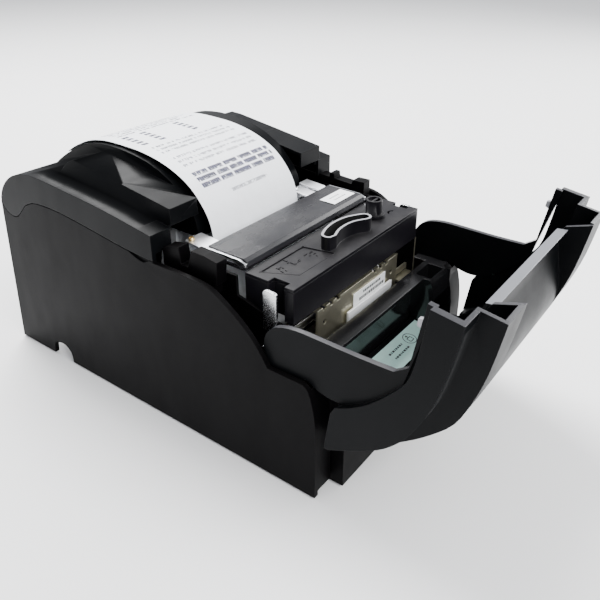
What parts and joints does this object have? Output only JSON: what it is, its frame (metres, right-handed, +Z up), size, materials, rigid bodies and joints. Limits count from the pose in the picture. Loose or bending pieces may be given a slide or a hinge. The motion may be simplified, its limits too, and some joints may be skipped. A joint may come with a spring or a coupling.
{
  "type": "receipt printer",
  "caption": "Desktop receipt printer with its front cover swung open, domed rear paper cover with a paper strip, ribbon cassette and cutter.",
  "frame": {"origin": "centre of the bounding box's base, with the front cover open, at the feet's underside", "axes": "+X to the right seen from the front, +Y from front to rear, +Z up"},
  "size_m": [0.16, 0.3257, 0.144],
  "materials": {
    "case_plastic": "fine satin grain",
    "cover_plastic": "fine satin grain",
    "gloss_black": "glossy",
    "cassette_plastic": "satin",
    "zinc_steel": "zinc plated",
    "bright_steel": "bright",
    "brass": "plain",
    "white_plastic": "plain",
    "grey_plastic": "plain",
    "rubber": "plain",
    "paper": "thin receipt paper",
    "white_label": "coated label",
    "mint_label": "coated label",
    "core_card": "plain",
    "board_green": "solder mask",
    "ribbon_fabric": "inked"
  },
  "bodies": {
    "printer_case": {"lower_case": "case_plastic", "base_plate": "zinc_steel", "switch_hatch": "grey_plastic", "foot_1": "rubber", "foot_2": "rubber", "foot_3": "rubber", "foot_4": "rubber", "cover_pin_left": "bright_steel", "cover_pin_right": "bright_steel", "paper_roll": "paper", "roll_core": "core_card", "paper_web": "paper", "paper_bucket": "case_plastic", "chassis": "zinc_steel", "front_plate": "zinc_steel", "mechanism_label": "white_label", "guard_bar": "white_plastic", "latch_tab_left": "bright_steel", "latch_tab_right": "bright_steel", "carriage_shaft": "bright_steel", "guide_rail": "zinc_steel", "platen_bar": "bright_steel", "drive_belt": "rubber", "carriage_motor": "zinc_steel", "feed_motor": "zinc_steel", "cutter_frame": "bright_steel", "cutter_cover": "gloss_black", "cutter_label": "white_label", "fixed_blade": "bright_steel", "cutter_motor": "grey_plastic", "paper_guide": "bright_steel", "guide_screw_left": "brass", "guide_screw_right": "brass", "side_block_left": "case_plastic", "side_block_right": "case_plastic", "main_board": "board_green", "power_inlet": "grey_plastic", "interface_port": "grey_plastic", "drawer_port": "grey_plastic", "status_lights": "white_plastic", "switch_housing": "grey_plastic"},
    "front_cover": {"front_cover": "cover_plastic", "cover_label": "mint_label"},
    "rear_cover": {"rear_cover": "cover_plastic", "paper_strip": "paper"},
    "ribbon_cassette": {"cassette_shell": "cassette_plastic", "cassette_lid": "cassette_plastic", "ribbon": "ribbon_fabric"},
    "ribbon_knob": {"ribbon_knob": "cassette_plastic"},
    "print_carriage": {"carriage": "grey_plastic", "print_head": "zinc_steel"},
    "drive_pulley": {"drive_pulley": "grey_plastic"},
    "idler_pulley": {"idler_pulley": "grey_plastic"},
    "feed_roller": {"feed_roller": "rubber"},
    "feed_pinion": {"feed_pinion": "brass"},
    "cutter_blade": {"cutter_blade": "bright_steel"},
    "feed_button": {"feed_button": "grey_plastic"},
    "power_switch": {"power_switch": "gloss_black"}
  },
  "joints": [
    {"name": "front_cover_hinge", "type": "hinge", "parent": "printer_case", "child": "front_cover", "pos_m": [0, -0.07133, 0.0504], "axis": [1, 0, 0], "range_deg": [-98.4, 0]},
    {"name": "rear_cover_hinge", "type": "hinge", "parent": "printer_case", "child": "rear_cover", "pos_m": [0, 0.14537, 0.1055], "axis": [-1, 0, 0], "range_deg": [0, 75]},
    {"name": "cassette_lift", "type": "slide", "parent": "printer_case", "child": "ribbon_cassette", "axis": [0, 0, 1], "range_m": [0, 0.05]},
    {"name": "ribbon_knob_turn", "type": "hinge", "parent": "ribbon_cassette", "child": "ribbon_knob", "pos_m": [0.0363, -0.04153, 0.11], "axis": [0, 0, 1], "continuous": true},
    {"name": "carriage_travel", "type": "slide", "parent": "printer_case", "child": "print_carriage", "axis": [1, 0, 0], "range_m": [-0.032, 0.032]},
    {"name": "drive_pulley_turn", "type": "hinge", "parent": "printer_case", "child": "drive_pulley", "pos_m": [-0.047, -0.04213, 0.055], "axis": [0, 0, 1], "range_deg": [-310, 310]},
    {"name": "idler_pulley_turn", "type": "hinge", "parent": "printer_case", "child": "idler_pulley", "pos_m": [0.047, -0.04213, 0.055], "axis": [0, 0, 1], "range_deg": [-310, 310]},
    {"name": "feed_roller_turn", "type": "hinge", "parent": "printer_case", "child": "feed_roller", "pos_m": [0, -0.01993, 0.066], "axis": [1, 0, 0], "continuous": true},
    {"name": "feed_pinion_turn", "type": "hinge", "parent": "printer_case", "child": "feed_pinion", "pos_m": [0.07, -0.01993, 0.05065], "axis": [1, 0, 0], "continuous": true},
    {"name": "cutter_stroke", "type": "slide", "parent": "printer_case", "child": "cutter_blade", "axis": [0, 1, 0], "range_m": [0, 0.003]},
    {"name": "feed_button_press", "type": "slide", "parent": "printer_case", "child": "feed_button", "axis": [0, 1, 0], "range_m": [0, 0.0012], "stiffness_N_per_m": 300, "springref_m": -0.002},
    {"name": "power_switch_rock", "type": "hinge", "parent": "printer_case", "child": "power_switch", "pos_m": [0.047, -0.08843, 0.019], "axis": [1, 0, 0], "range_deg": [-12, 0]}
  ],
  "couplings": [
    {"joint": "drive_pulley_turn", "follows": "carriage_travel", "rad_per_m": 161.29},
    {"joint": "idler_pulley_turn", "follows": "carriage_travel", "rad_per_m": 161.29},
    {"joint": "feed_pinion_turn", "follows": "feed_roller_turn", "ratio": -2}
  ]
}
